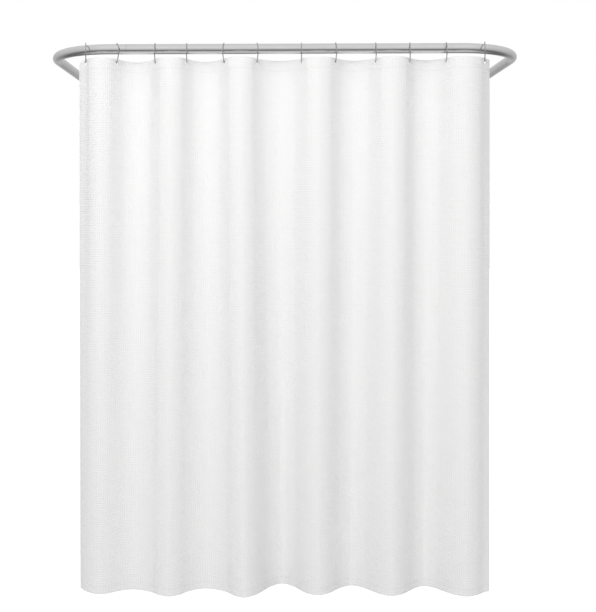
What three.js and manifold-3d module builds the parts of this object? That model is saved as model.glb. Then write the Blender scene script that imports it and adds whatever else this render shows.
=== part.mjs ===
// A shower curtain on a U-shaped rod. The rod's two legs fix to one wall and its front run carries twelve
// wire hooks, which hold a cloth with a stitched header, side hems and a bottom hem.
//
// Sizes are in millimetres. The origin is on the wall, midway between the legs, at the height of the rod's
// axis: +X runs to the right, +Y into the wall and +Z up.

import * as THREE from "three";
import { mergeVertices } from "three/addons/utils/BufferGeometryUtils.js";
import Module from "manifold-3d";

const gap = 0.3; // between pieces that touch

const rod = {
  outer: 31.75,
  wall: 1.2,
  legSpacing: 1650, // between the legs' axes
  reach: 914, // from the wall to the front run's axis
  bendRadius: 225,
  bendTail: 60, // straight tube at each end of a corner piece
  sides: 20,
  bendStep: 30, // length of each straight facet round a bend
};

const joiner = { wall: 2, length: 80, screwInset: 20 };

const grubScrew = { radius: 2.5, length: 3.2, socketRadius: 1.3, socketDepth: 1.8, clearance: 0.4 };

const bracket = {
  flange: 14.125, // plate beyond the tube
  plateThickness: 5,
  spigotLength: 30,
  bore: 10, // radius of the hole through the plate and the spigot
  screwsOut: 6.625, // screws' circle beyond the tube
  screwCount: 3,
  grubHeight: 20, // of the grub screw, from the wall
};

const wallScrew = { radius: 2, length: 30, headRadius: 3.9, headHeight: 2.6, pointLength: 4, clearance: 0.4 };

const cover = { rim: 5, depth: 16, wall: 1, edge: 4, clearance: 0.4 };

const hook = {
  wire: 3.6,
  slack: 10.125, // between the rod and the inside of the arch, all round
  height: 70,
  footRadius: 7, // of the bend that passes through the cloth, at the wire's middle
  openAngle: 5, // degrees above level where the arch ends, at the back
  returnShare: 0.6, // how much of the back straight the wire climbs
  tipRadius: 2.9,
  wireSteps: 27,
  topGap: 1,
  turn: 18, // degrees either side of square to the rod, in turn along the rod
};

// The two end hooks hang where each bend begins to fall back towards the wall.
const endHook = { fallBack: 15.5, topGap: 4.8, turn: 12 };

// Where the hooks hang, from one end hook (-1) to the other (1).
const hookStations = [-1, -0.843, -0.65, -0.492, -0.306, -0.141, 0.081, 0.251, 0.452, 0.623, 0.804, 1];

const cloth = {
  cutWidth: 1829,
  cutHeight: 1829,
  thickness: 1.2,
  hemThickness: 2.2,
  headerHeight: 38,
  bottomHemHeight: 28,
  sideHemWidth: 12,
  holeDrop: 13, // hole centre below the top edge
  holeRadius: 6.5,
  flapOut: 31, // how far each free side edge lies past its end hook
  flapBack: 22, // and how far behind it
  columnWidth: 15,
};

// One fold between two hooks: share of the way along, share of the fold's depth.
const foldShape = [
  [0.12, 0.78],
  [0.5, 1],
  [0.88, 0.78],
];

const metal = { color: "#c6c9cc", metalness: 1, roughness: 0.22 };
const materials = {
  tube: () => new THREE.MeshStandardMaterial(metal),
  wire: () => new THREE.MeshStandardMaterial({ ...metal, roughness: 0.18 }),
  fixing: () => new THREE.MeshStandardMaterial({ color: "#a9acaf", metalness: 1, roughness: 0.4 }),
  cloth: () => new THREE.MeshStandardMaterial({ color: "#f3f3f1", metalness: 0, roughness: 0.92 }),
};

const rodRadius = rod.outer / 2;
const boreRadius = rodRadius - rod.wall;
const straightHalf = rod.legSpacing / 2 - rod.bendRadius; // the front run is straight up to here
const jointX = straightHalf - rod.bendTail;
const jointY = -rod.reach + rod.bendRadius + rod.bendTail;
const spigotRadius = boreRadius - gap;
const plateRadius = rodRadius + bracket.flange;
const screwCircle = rodRadius + bracket.screwsOut;
const archInside = rodRadius + hook.slack;
const footZ = rodRadius + hook.topGap + hook.wire * 1.5 - hook.height; // lowest point of a hook's middle line
const holeZ = footZ + (endHook.topGap - hook.topGap) / 2;
const clothTop = holeZ + cloth.holeDrop;
const degrees = Math.PI / 180;

const wasm = await Module();
wasm.setup();

// --- Shared helpers ---

function addMesh(parent, name, geometry, finish, position = [0, 0, 0], rotation = [0, 0, 0]) {
  const mesh = new THREE.Mesh(geometry, materials[finish]());
  mesh.name = name;
  mesh.position.set(...position);
  mesh.rotation.set(...rotation);
  parent.add(mesh);
}

function solidOf(geometry) {
  const bare = geometry.clone();
  bare.deleteAttribute("normal");
  bare.deleteAttribute("uv");
  const merged = mergeVertices(bare, 1e-4);
  return new wasm.Manifold(
    new wasm.Mesh({
      numProp: 3,
      vertProperties: merged.attributes.position.array,
      triVerts: new Uint32Array(merged.index.array),
    }),
  );
}

function geometryOf(solid) {
  const mesh = solid.getMesh();
  const geometry = new THREE.BufferGeometry();
  geometry.setAttribute("position", new THREE.BufferAttribute(mesh.vertProperties, 3));
  geometry.setIndex(new THREE.BufferAttribute(mesh.triVerts, 1));
  geometry.computeVertexNormals();
  return geometry;
}

function cutFrom(geometry, cutters) {
  return geometryOf(cutters.reduce((left, cutter) => left.subtract(solidOf(cutter)), solidOf(geometry)));
}

function joined(geometries) {
  return geometryOf(geometries.map(solidOf).reduce((whole, piece) => whole.add(piece)));
}

// A turned piece: points are [radius, height] pairs, turned about the Y axis.
function turned(points, segments) {
  return new THREE.LatheGeometry(points.map(([radius, height]) => new THREE.Vector2(radius, height)), segments);
}

function disc(radius, sides) {
  const outline = new THREE.Shape();
  for (let k = 0; k < sides; k++) {
    const angle = (2 * Math.PI * k) / sides;
    outline[k ? "lineTo" : "moveTo"](radius * Math.cos(angle), radius * Math.sin(angle));
  }
  return outline;
}

function ringOutline(outerRadius, innerRadius) {
  const outline = disc(outerRadius, rod.sides);
  outline.holes.push(disc(innerRadius, rod.sides));
  return outline;
}

// A cylinder that crosses a tube's wall on one side, from the tube's middle outwards along the local Y axis.
function radialCutter(radius, side, z) {
  return new THREE.CylinderGeometry(radius, radius, rod.outer, 10).translate(0, side * rod.outer * 0.75, z);
}

// --- Rod ---

// A tube from z = 0 to its length, with screw holes through one side of its wall.
function straightTube(outerRadius, innerRadius, length, holeHeights, side) {
  const blank = new THREE.ExtrudeGeometry(ringOutline(outerRadius, innerRadius), {
    depth: length,
    bevelEnabled: false,
  });
  const holeRadius = grubScrew.radius + grubScrew.clearance;
  return cutFrom(blank, holeHeights.map((z) => radialCutter(holeRadius, side, z)));
}

// The axis of a corner piece: a straight tail, a quarter turn and a second tail.
class CornerPath extends THREE.Curve {
  constructor(side) {
    super();
    this.side = side;
    this.bendLength = (Math.PI / 2) * rod.bendRadius;
    this.total = this.bendLength + 2 * (rod.bendTail - gap / 2);
  }
  getPoint(t, target = new THREE.Vector3()) {
    const fromBend = t * this.total - rod.bendTail + gap / 2;
    const turn = THREE.MathUtils.clamp(fromBend / rod.bendRadius, 0, Math.PI / 2);
    const past = fromBend - turn * rod.bendRadius;
    const x = straightHalf + rod.bendRadius * Math.sin(turn) + past * Math.cos(turn);
    const y = -rod.reach + rod.bendRadius * (1 - Math.cos(turn)) + past * Math.sin(turn);
    return target.set(this.side * x, y, 0);
  }
}

function cornerTube(side) {
  const path = new CornerPath(side);
  const blank = new THREE.ExtrudeGeometry(ringOutline(rodRadius, boreRadius), {
    extrudePath: path,
    steps: Math.round(path.total / rod.bendStep),
  });
  const holeRadius = grubScrew.radius + grubScrew.clearance;
  const frontHole = radialCutter(holeRadius, 1, 0).translate(
    side * (jointX + joiner.screwInset),
    -rod.reach,
    0,
  );
  const legHole = radialCutter(holeRadius, 1, 0)
    .rotateX(Math.PI / 2)
    .translate((side * rod.legSpacing) / 2, jointY - joiner.screwInset, 0);
  return cutFrom(blank, [frontHole, legHole]);
}

function grubScrewBody() {
  const { radius, length, socketRadius, socketDepth } = grubScrew;
  return turned(
    [
      [0, 0],
      [radius, 0],
      [radius, length],
      [socketRadius, length],
      [socketRadius, length - socketDepth],
      [0, length - socketDepth],
    ],
    10,
  );
}

const grubBase = rodRadius - 0.4 - grubScrew.length; // inner end of a grub screw, from the tube's axis
const towardsUp = [Math.PI / 2, 0, 0];

function addJoiners(parent, side, word) {
  const legX = (side * rod.legSpacing) / 2;
  const sleeve = (holeSide) =>
    straightTube(
      spigotRadius,
      spigotRadius - joiner.wall,
      joiner.length,
      [joiner.length / 2 - joiner.screwInset, joiner.length / 2 + joiner.screwInset],
      holeSide,
    );
  addMesh(
    parent,
    `${word}_front_joiner`,
    sleeve(1),
    "fixing",
    [side * jointX - joiner.length / 2, -rod.reach, 0],
    [0, Math.PI / 2, 0],
  );
  addMesh(
    parent,
    `${word}_leg_joiner`,
    sleeve(-1),
    "fixing",
    [legX, jointY - joiner.length / 2, 0],
    [-Math.PI / 2, 0, 0],
  );
  [-1, 1].forEach((end, k) => {
    const inset = end * joiner.screwInset;
    addMesh(parent, `${word}_front_joiner_screw_${k + 1}`, grubScrewBody(), "fixing", [
      side * (jointX + inset),
      -rod.reach + grubBase,
      0,
    ]);
    addMesh(
      parent,
      `${word}_leg_joiner_screw_${k + 1}`,
      grubScrewBody(),
      "fixing",
      [legX, jointY + inset, grubBase],
      towardsUp,
    );
  });
}

function addRodTubes(parent) {
  const frontLength = 2 * jointX - gap;
  const screwHeight = joiner.screwInset - gap / 2;
  addMesh(
    parent,
    "front_tube",
    straightTube(rodRadius, boreRadius, frontLength, [screwHeight, frontLength - screwHeight], 1),
    "tube",
    [-frontLength / 2, -rod.reach, 0],
    [0, Math.PI / 2, 0],
  );
  const legStart = jointY + gap / 2;
  const legLength = -legStart - bracket.plateThickness - gap;
  for (const [word, side] of [["left", -1], ["right", 1]]) {
    addMesh(parent, `${word}_corner_tube`, cornerTube(side), "tube");
    const holes = [screwHeight, -legStart - bracket.grubHeight];
    addMesh(
      parent,
      `${word}_leg_tube`,
      straightTube(rodRadius, boreRadius, legLength, holes, -1),
      "tube",
      [(side * rod.legSpacing) / 2, legStart, 0],
      [-Math.PI / 2, 0, 0],
    );
    addJoiners(parent, side, word);
  }
}

// --- Wall fixings, drawn with the wall at y = 0 and turned to face the room ---

function bracketBody() {
  const { plateThickness, spigotLength, bore } = bracket;
  const tall = plateThickness + spigotLength;
  const blank = turned(
    [
      [bore, 0],
      [plateRadius, 0],
      [plateRadius, plateThickness - 1],
      [plateRadius - 1, plateThickness],
      [spigotRadius, plateThickness],
      [spigotRadius, tall - 1],
      [spigotRadius - 1, tall],
      [bore, tall],
      [bore, 0],
    ],
    24,
  );
  const holeRadius = wallScrew.radius + wallScrew.clearance;
  const cutters = screwPlaces().map(([x, z]) =>
    new THREE.CylinderGeometry(holeRadius, holeRadius, 4 * plateThickness, 10).translate(x, 0, z),
  );
  const grubHole = new THREE.CylinderGeometry(
    grubScrew.radius + grubScrew.clearance,
    grubScrew.radius + grubScrew.clearance,
    spigotRadius,
    10,
  );
  cutters.push(grubHole.rotateX(Math.PI / 2).translate(0, bracket.grubHeight, -spigotRadius));
  return cutFrom(blank, cutters);
}

function screwPlaces() {
  return Array.from({ length: bracket.screwCount }, (_, k) => {
    const angle = (2 * Math.PI * (k + 0.25)) / bracket.screwCount;
    return [screwCircle * Math.cos(angle), screwCircle * Math.sin(angle)];
  });
}

function wallScrewBody() {
  const { radius, length, headRadius, headHeight, pointLength } = wallScrew;
  return turned(
    [
      [0, -length],
      [radius, pointLength - length],
      [radius, 0],
      [headRadius, 0],
      [headRadius, headHeight * 0.5],
      [headRadius * 0.7, headHeight],
      [0, headHeight],
    ],
    10,
  );
}

function coverBody() {
  const { depth, wall, edge } = cover;
  const radius = plateRadius + cover.rim;
  const bore = rodRadius + cover.clearance;
  const lip = radius - 3 * edge;
  return turned(
    [
      [radius, gap],
      [radius, depth - 2 * edge],
      [radius - edge, depth - edge * 0.6],
      [lip, depth],
      [bore, depth],
      [bore, depth - wall],
      [lip, depth - wall],
      [radius - edge - wall * 0.5, depth - edge * 0.6 - wall],
      [radius - wall, depth - 2 * edge - wall * 0.3],
      [radius - wall, gap],
      [radius, gap],
    ],
    28,
  );
}

function addWallFixings(parent, side, word) {
  const fixings = new THREE.Group();
  fixings.position.x = (side * rod.legSpacing) / 2;
  fixings.rotation.x = Math.PI; // local +Y now leaves the wall
  parent.add(fixings);
  addMesh(fixings, `${word}_wall_bracket`, bracketBody(), "fixing");
  screwPlaces().forEach(([x, z], k) =>
    addMesh(fixings, `${word}_wall_screw_${k + 1}`, wallScrewBody(), "fixing", [
      x,
      bracket.plateThickness + gap,
      z,
    ]),
  );
  addMesh(
    fixings,
    `${word}_bracket_screw`,
    grubScrewBody(),
    "fixing",
    [0, bracket.grubHeight, -grubBase],
    [-Math.PI / 2, 0, 0],
  );
  addMesh(fixings, `${word}_wall_cover`, coverBody(), "tube");
}

// --- Hooks ---

// An arc in the hook's own plane: y runs from front to back and z up. Angles are from level at the back.
class WireArc extends THREE.Curve {
  constructor(middleZ, radius, from, to) {
    super();
    Object.assign(this, { middleZ, radius, from, to });
  }
  getPoint(t, target = new THREE.Vector3()) {
    const angle = THREE.MathUtils.lerp(this.from, this.to, t);
    return target.set(0, this.radius * Math.cos(angle), this.middleZ + this.radius * Math.sin(angle));
  }
}

// The wire's middle line: over the rod from back to front, down, through the cloth, and part way up again.
// Its z is 0 at the top of the space inside the arch.
function wirePath() {
  const archRadius = archInside + hook.wire / 2;
  const archMiddle = -archInside;
  const footMiddle = hook.wire * 1.5 - hook.height + hook.footRadius;
  const taper = Math.asin((archRadius - hook.footRadius) / (archMiddle - footMiddle));
  const arch = new WireArc(archMiddle, archRadius, hook.openAngle * degrees, Math.PI + taper);
  const foot = new WireArc(footMiddle, hook.footRadius, Math.PI + taper, 2 * Math.PI - taper);
  const backTop = new THREE.Vector3(
    0,
    archRadius * Math.cos(taper),
    archMiddle - archRadius * Math.sin(taper),
  );
  const backEnd = foot.getPoint(1).lerp(backTop, hook.returnShare);
  const path = new THREE.CurvePath();
  path.add(arch);
  path.add(new THREE.LineCurve3(arch.getPoint(1), foot.getPoint(0)));
  path.add(foot);
  path.add(new THREE.LineCurve3(foot.getPoint(1), backEnd));
  return path;
}

function hookBody() {
  const path = wirePath();
  const wire = new THREE.ExtrudeGeometry(disc(hook.wire / 2, 6), { extrudePath: path, steps: hook.wireSteps });
  const tips = [0, 1].map((end) => {
    const at = path.getPoint(end);
    return new THREE.SphereGeometry(hook.tipRadius, 6, 5).translate(at.x, at.y, at.z);
  });
  return joined([wire, ...tips]);
}

// Each hook's place: x, y of its middle, the height of the rod's top plus the gap, and its turn.
function hookPlaces() {
  const { bendRadius, reach } = rod;
  const beyond = Math.sqrt(bendRadius ** 2 - (bendRadius - endHook.fallBack) ** 2);
  return hookStations.map((station, k) => {
    const atEnd = Math.abs(station) === 1;
    const { topGap, turn } = atEnd ? endHook : hook;
    return {
      x: station * (straightHalf + beyond),
      y: -reach + (atEnd ? endHook.fallBack / 2 : 0),
      z: rodRadius + topGap,
      turn: (k % 2 ? turn : -turn) * degrees,
    };
  });
}

function addHooks(parent, places) {
  places.forEach(({ x, y, z, turn }, k) => {
    const number = String(k + 1).padStart(2, "0");
    addMesh(parent, `hook_${number}`, hookBody(), "wire", [x, y, z], [0, 0, turn]);
  });
}

// --- Cloth ---

// The cloth's line seen from above: it crosses under the rod at each hook, bows forward between the hooks of
// a pair and backward between pairs, and turns back at both free edges.
function foldLine(places, depth) {
  const [first, last] = [places[0], places[places.length - 1]];
  const points = [new THREE.Vector3(first.x - cloth.flapOut, first.y + cloth.flapBack, 0)];
  places.forEach((here, k) => {
    points.push(new THREE.Vector3(here.x, here.y, 0));
    const next = places[k + 1];
    const bow = k % 2 ? depth : -depth;
    if (next)
      for (const [along, share] of foldShape)
        points.push(
          new THREE.Vector3(
            THREE.MathUtils.lerp(here.x, next.x, along),
            THREE.MathUtils.lerp(here.y, next.y, along) + bow * share,
            0,
          ),
        );
  });
  points.push(new THREE.Vector3(last.x + cloth.flapOut, last.y + cloth.flapBack, 0));
  const line = new THREE.CatmullRomCurve3(points, false, "centripetal");
  line.arcLengthDivisions = 1500;
  return line;
}

// The folds are as deep as it takes for the line to be as long as the cloth is wide.
function hangingLine(places) {
  let shallow = 0;
  let deep = cloth.cutWidth / 10;
  while (deep - shallow > 0.01) {
    const depth = (shallow + deep) / 2;
    if (foldLine(places, depth).getLength() < cloth.cutWidth) shallow = depth;
    else deep = depth;
  }
  return foldLine(places, deep);
}

// A strip of cloth that follows the line between two distances along it and hangs from top to bottom.
function strip(line, from, to, thickness, top, bottom) {
  const total = line.getLength();
  const columns = Math.max(2, Math.round((to - from) / cloth.columnWidth));
  const front = [];
  const back = [];
  for (let k = 0; k <= columns; k++) {
    const share = (from + ((to - from) * k) / columns) / total;
    const middle = line.getPointAt(share);
    const along = line.getTangentAt(share);
    const [offX, offY] = [(-along.y * thickness) / 2, (along.x * thickness) / 2];
    front.push(new THREE.Vector2(middle.x - offX, middle.y - offY));
    back.unshift(new THREE.Vector2(middle.x + offX, middle.y + offY));
  }
  return new THREE.ExtrudeGeometry(new THREE.Shape([...front, ...back]), {
    depth: top - bottom,
    bevelEnabled: false,
  }).translate(0, 0, bottom);
}

function headerBand(line, places) {
  const band = strip(line, 0, line.getLength(), cloth.hemThickness, clothTop, clothTop - cloth.headerHeight);
  const holes = places.map(({ x, y, turn }) =>
    new THREE.CylinderGeometry(cloth.holeRadius, cloth.holeRadius, 4 * cloth.holeRadius, 8)
      .rotateZ(turn)
      .translate(x, y, holeZ),
  );
  return cutFrom(band, holes);
}

function addCloth(parent, places) {
  const line = hangingLine(places);
  const width = line.getLength();
  const bottom = clothTop - cloth.cutHeight;
  const panelTop = clothTop - cloth.headerHeight - gap;
  const panelBottom = bottom + cloth.bottomHemHeight + gap;
  const inside = cloth.sideHemWidth + gap;
  const hang = (name, geometry) => addMesh(parent, name, geometry, "cloth");
  hang("header_band", headerBand(line, places));
  hang("curtain_panel", strip(line, inside, width - inside, cloth.thickness, panelTop, panelBottom));
  hang("left_side_hem", strip(line, 0, cloth.sideHemWidth, cloth.hemThickness, panelTop, panelBottom));
  hang(
    "right_side_hem",
    strip(line, width - cloth.sideHemWidth, width, cloth.hemThickness, panelTop, panelBottom),
  );
  hang("bottom_hem", strip(line, 0, width, cloth.hemThickness, panelBottom - gap, bottom));
}

// --- Assembly ---

const group = new THREE.Group();
const places = hookPlaces();
addRodTubes(group);
addWallFixings(group, -1, "left");
addWallFixings(group, 1, "right");
addHooks(group, places);
addCloth(group, places);

export default group;
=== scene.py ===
import math

import bpy
import numpy as np
from mathutils import Matrix, Vector


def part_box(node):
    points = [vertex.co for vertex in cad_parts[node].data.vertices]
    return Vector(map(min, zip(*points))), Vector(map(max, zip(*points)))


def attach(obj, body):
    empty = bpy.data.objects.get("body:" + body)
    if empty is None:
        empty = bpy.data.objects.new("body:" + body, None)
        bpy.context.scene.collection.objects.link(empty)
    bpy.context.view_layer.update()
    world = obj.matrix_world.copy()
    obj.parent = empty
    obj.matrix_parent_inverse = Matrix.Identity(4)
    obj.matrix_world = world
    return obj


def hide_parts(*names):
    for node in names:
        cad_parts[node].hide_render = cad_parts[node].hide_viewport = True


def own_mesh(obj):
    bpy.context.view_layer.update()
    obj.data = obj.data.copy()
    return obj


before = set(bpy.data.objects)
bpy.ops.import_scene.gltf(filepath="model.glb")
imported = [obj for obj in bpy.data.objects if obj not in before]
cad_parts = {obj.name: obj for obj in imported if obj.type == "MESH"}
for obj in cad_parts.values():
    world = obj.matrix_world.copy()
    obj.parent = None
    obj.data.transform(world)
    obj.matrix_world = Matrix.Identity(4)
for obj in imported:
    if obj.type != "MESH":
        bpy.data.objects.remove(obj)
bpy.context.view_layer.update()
mm = 0.001


viewSetup = {
    "place": (-0.0345, -3.921, -0.582),
    "tiltDown": 0.705,  # degrees
    "turnLeft": 0.109,
    "roll": 0.172,
    "lens": 51.75,
    "sensor": 36.0,
    "shift": (0.0393, -0.1237),
}


def addCamera(v):
    data = bpy.data.cameras.new("camera")
    data.lens, data.sensor_width = v["lens"], v["sensor"]
    data.shift_x, data.shift_y = v["shift"]
    data.clip_start, data.clip_end = 0.05, 60
    camera = bpy.data.objects.new("camera", data)
    bpy.context.scene.collection.objects.link(camera)
    camera.location = v["place"]
    camera.rotation_euler = [
        math.radians(a) for a in (90 - v["tiltDown"], v["roll"], v["turnLeft"])
    ]
    bpy.context.scene.camera = camera


def newGroup(name, inputs, outputs):
    group = bpy.data.node_groups.new(name, "ShaderNodeTree")
    for label, kind, value in inputs:
        socket = group.interface.new_socket(label, in_out="INPUT", socket_type=kind)
        if value is not None:
            socket.default_value = value
    for label, kind in outputs:
        group.interface.new_socket(label, in_out="OUTPUT", socket_type=kind)
    return group, group.nodes.new("NodeGroupInput"), group.nodes.new("NodeGroupOutput")


def calc(tree, operation, a, b=None, c=None):
    node = tree.nodes.new("ShaderNodeMath")
    node.operation = operation
    for slot, value in zip(node.inputs, (a, b, c)):
        if value is None:
            continue
        if isinstance(value, (int, float)):
            slot.default_value = value
        else:
            tree.links.new(value, slot)
    return node.outputs[0]


def noise(tree, where, scale, detail=2.0, roughness=0.5):
    node = tree.nodes.new("ShaderNodeTexNoise")
    node.inputs["Scale"].default_value = scale
    node.inputs["Detail"].default_value = detail
    node.inputs["Roughness"].default_value = roughness
    tree.links.new(where, node.inputs["Vector"])
    return node.outputs["Fac"]


def stretched(tree, where, scale):
    node = tree.nodes.new("ShaderNodeVectorMath")
    node.operation = "MULTIPLY"
    node.inputs[1].default_value = scale
    tree.links.new(where, node.inputs[0])
    return node.outputs[0]


def spread(tree, value, low, high, toLow, toHigh):
    node = tree.nodes.new("ShaderNodeMapRange")
    for label, number in zip(("From Min", "From Max", "To Min", "To Max"), (low, high, toLow, toHigh)):
        if isinstance(number, (int, float)):
            node.inputs[label].default_value = number
        else:
            tree.links.new(number, node.inputs[label])
    tree.links.new(value, node.inputs["Value"])
    return node.outputs["Result"]


studio = {
    "floorHeight": -1.95,
    "floorSize": 40.0,
    "backdrop": 1.0,
    # brightness of the room by height of the direction: straight down, then up to straight overhead
    "roomTones": [
        (0.0, 0.78), (0.04, 0.76), (0.09, 0.36), (0.13, 0.2), (0.19, 0.2),
        (0.32, 0.56), (0.44, 0.84), (0.7, 1.0), (1.0, 0.92),
    ],
    # share of the room's light lost towards its sides and its back, over this span of the direction
    "roomSides": (0.35, 0.9, 0.2),
    "roomBack": (0.3, 0.95, 0.3),
    "roomStrength": 0.98,
    # name: (place, aimed at, width, height, watts)
    "lamps": {
        "keyLamp": ((-0.8, -4.4, 1.3), (0, -0.9, -0.5), 2.8, 2.0, 77),
        "fillLamp": ((1.2, -4.8, -0.3), (0, -0.9, -0.9), 2.4, 2.0, 3),
        "backLamp": ((0.0, 2.4, 1.6), (0, -0.4, -0.9), 3.0, 2.0, 52),
    },
}


def addRoom(s):
    world = bpy.data.worlds.new("room")
    bpy.context.scene.world = world
    world.use_nodes = True
    tree = world.node_tree
    tree.nodes.clear()
    link = tree.links.new
    coords = tree.nodes.new("ShaderNodeTexCoord")
    split = tree.nodes.new("ShaderNodeSeparateXYZ")
    height = tree.nodes.new("ShaderNodeMapRange")
    height.inputs["From Min"].default_value = -1
    tones = tree.nodes.new("ShaderNodeValToRGB")
    tones.color_ramp.interpolation = "EASE"
    ramp = tones.color_ramp.elements
    ramp.remove(ramp[1])
    for k, (at, grey) in enumerate(s["roomTones"]):
        stop = ramp[0] if k == 0 else ramp.new(at)
        stop.position, stop.color = at, (grey, grey, grey, 1)
    room = tree.nodes.new("ShaderNodeBackground")
    room.inputs["Strength"].default_value = s["roomStrength"]
    plain = tree.nodes.new("ShaderNodeBackground")
    plain.inputs["Color"].default_value = (1, 1, 1, 1)
    plain.inputs["Strength"].default_value = s["backdrop"]
    path = tree.nodes.new("ShaderNodeLightPath")
    mix = tree.nodes.new("ShaderNodeMixShader")
    out = tree.nodes.new("ShaderNodeOutputWorld")
    link(coords.outputs["Generated"], split.inputs[0])
    link(split.outputs["Z"], height.inputs["Value"])
    link(height.outputs["Result"], tones.inputs["Fac"])
    light = tones.outputs["Color"]
    for axis, (start, end, loss) in (("X", s["roomSides"]), ("Y", s["roomBack"])):
        part = calc(tree, "ABSOLUTE", split.outputs[axis]) if axis == "X" else split.outputs[axis]
        light = calc(tree, "MULTIPLY", light, spread(tree, part, start, end, 1.0, 1.0 - loss))
    link(light, room.inputs["Color"])
    link(path.outputs["Is Camera Ray"], mix.inputs["Fac"])
    link(room.outputs[0], mix.inputs[1])
    link(plain.outputs[0], mix.inputs[2])
    link(mix.outputs[0], out.inputs["Surface"])


def addLamps(s):
    for name, (place, aim, width, height, watts) in s["lamps"].items():
        data = bpy.data.lights.new(name, "AREA")
        data.shape, data.size, data.size_y, data.energy = "RECTANGLE", width, height, watts
        lamp = bpy.data.objects.new(name, data)
        bpy.context.scene.collection.objects.link(lamp)
        lamp.location = place
        lamp.rotation_euler = (Vector(aim) - Vector(place)).to_track_quat("-Z", "Y").to_euler()
        lamp.visible_camera = lamp.visible_glossy = False


def addFloor(s):
    bpy.ops.object.select_all(action="DESELECT")
    bpy.ops.mesh.primitive_plane_add(size=s["floorSize"], location=(0, 0, s["floorHeight"]))
    floor = bpy.context.object
    floor.name = "floor"
    paint = bpy.data.materials.new("paleFloor")
    paint.use_nodes = True
    shader = paint.node_tree.nodes["Principled BSDF"]
    shader.inputs["Base Color"].default_value = (0.9, 0.9, 0.9, 1)
    shader.inputs["Roughness"].default_value = 0.9
    shader.inputs["Specular IOR Level"].default_value = 0.0
    shader.inputs["Emission Color"].default_value = (1, 1, 1, 1)
    shader.inputs["Emission Strength"].default_value = 0.62
    floor.data.materials.append(paint)
    floor.visible_glossy = False
    floor.visible_diffuse = False


addCamera(viewSetup)
addRoom(studio)
addLamps(studio)
addFloor(studio)
bpy.context.scene.view_settings.view_transform = "Standard"
print("camera, lamps and floor")


def startEdit(piece):
    bpy.ops.object.select_all(action="DESELECT")
    piece.select_set(True)
    bpy.context.view_layer.objects.active = piece
    bpy.ops.object.mode_set(mode="EDIT")


def endEdit():
    bpy.ops.object.mode_set(mode="OBJECT")


def onlySelect(piece):
    bpy.ops.object.select_all(action="DESELECT")
    piece.select_set(True)
    bpy.context.view_layer.objects.active = piece


def bakeModifiers(piece):
    onlySelect(piece)
    for modifier in list(piece.modifiers):
        bpy.ops.object.modifier_apply(modifier=modifier.name)


def closeUp(piece, angle=35):
    startEdit(piece)
    bpy.ops.mesh.select_all(action="SELECT")
    bpy.ops.mesh.remove_doubles(threshold=0.00001)
    bpy.ops.mesh.normals_make_consistent(inside=False)
    endEdit()
    onlySelect(piece)
    bpy.ops.object.shade_smooth_by_angle(angle=math.radians(angle))


def bakePlace(piece):
    onlySelect(piece)
    bpy.ops.object.transform_apply(location=True, rotation=True, scale=True)


def hand(piece, name, material, slot, body, *nodes):
    piece.name = piece.data.name = name
    piece.data.materials.clear()
    piece.data.materials.append(material)
    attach(piece, body)
    if nodes:
        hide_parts(*nodes)
    return piece


def cutAway(piece, cutters):
    bpy.ops.object.select_all(action="DESELECT")
    for cutter in cutters:
        cutter.select_set(True)
    bpy.context.view_layer.objects.active = cutters[0]
    if len(cutters) > 1:
        bpy.ops.object.join()
    tool = bpy.context.view_layer.objects.active
    cut = piece.modifiers.new("cut", "BOOLEAN")
    cut.operation, cut.solver, cut.object = "DIFFERENCE", "EXACT", tool
    bakeModifiers(piece)
    bpy.data.objects.remove(tool)


def cylinderCutter(place, radius, depth, facing, sides=24):
    bpy.ops.object.select_all(action="DESELECT")
    turn = Vector((0, 0, 1)).rotation_difference(Vector(facing)).to_euler()
    bpy.ops.mesh.primitive_cylinder_add(
        vertices=sides, radius=radius, depth=depth, location=place, rotation=turn
    )
    return bpy.context.object


def meshPiece(name, points, faces):
    data = bpy.data.meshes.new(name)
    data.from_pydata([tuple(p) for p in points], [], [tuple(f) for f in faces])
    data.update()
    piece = bpy.data.objects.new(name, data)
    bpy.context.scene.collection.objects.link(piece)
    return piece


weaveLook = {
    "ribPower": 1.7,  # how narrow the ribs are
    "acrossHeight": 0.8,  # of the ribs across the cloth, as a share of the upright ones
    "threadHeight": 0.1,
}


# Raised ribs round square pits, with fine threads over them. Cloth is the flat cloth's measure, in metres.
def waffleGroup(w):
    group, given, out = newGroup(
        "waffleWeave",
        [
            ("Cloth", "NodeSocketVector", None),
            ("Cell", "NodeSocketFloat", 0.008),
            ("Thread", "NodeSocketFloat", 0.001),
        ],
        [("Height", "NodeSocketFloat"), ("Pit", "NodeSocketFloat")],
    )
    split = group.nodes.new("ShaderNodeSeparateXYZ")
    group.links.new(given.outputs["Cloth"], split.inputs[0])
    ribs = []
    for axis in ("X", "Y"):
        turns = calc(group, "DIVIDE", split.outputs[axis], given.outputs["Cell"])
        wave = calc(group, "COSINE", calc(group, "MULTIPLY", turns, 2 * math.pi))
        rib = spread(group, wave, -1.0, 1.0, 0.0, 1.0)
        ribs.append(calc(group, "POWER", rib, w["ribPower"]))
    ribs[1] = calc(group, "MULTIPLY", ribs[1], w["acrossHeight"])
    grid = calc(group, "MAXIMUM", *ribs)
    threads = []
    for axis in ("X", "Y"):
        turns = calc(group, "DIVIDE", split.outputs[axis], given.outputs["Thread"])
        threads.append(calc(group, "SINE", calc(group, "MULTIPLY", turns, 2 * math.pi)))
    fine = calc(group, "MULTIPLY", calc(group, "MULTIPLY", *threads), w["threadHeight"])
    group.links.new(calc(group, "ADD", grid, fine), out.inputs["Height"])
    group.links.new(calc(group, "SUBTRACT", 1.0, grid), out.inputs["Pit"])
    return group


grainLook = {
    "fine": (900.0, 900.0, 9.0),  # lines to a metre, across and along
    "broad": (110.0, 110.0, 5.0),
    "fineShare": 0.45,
    "darkest": 0.86,
}


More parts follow.
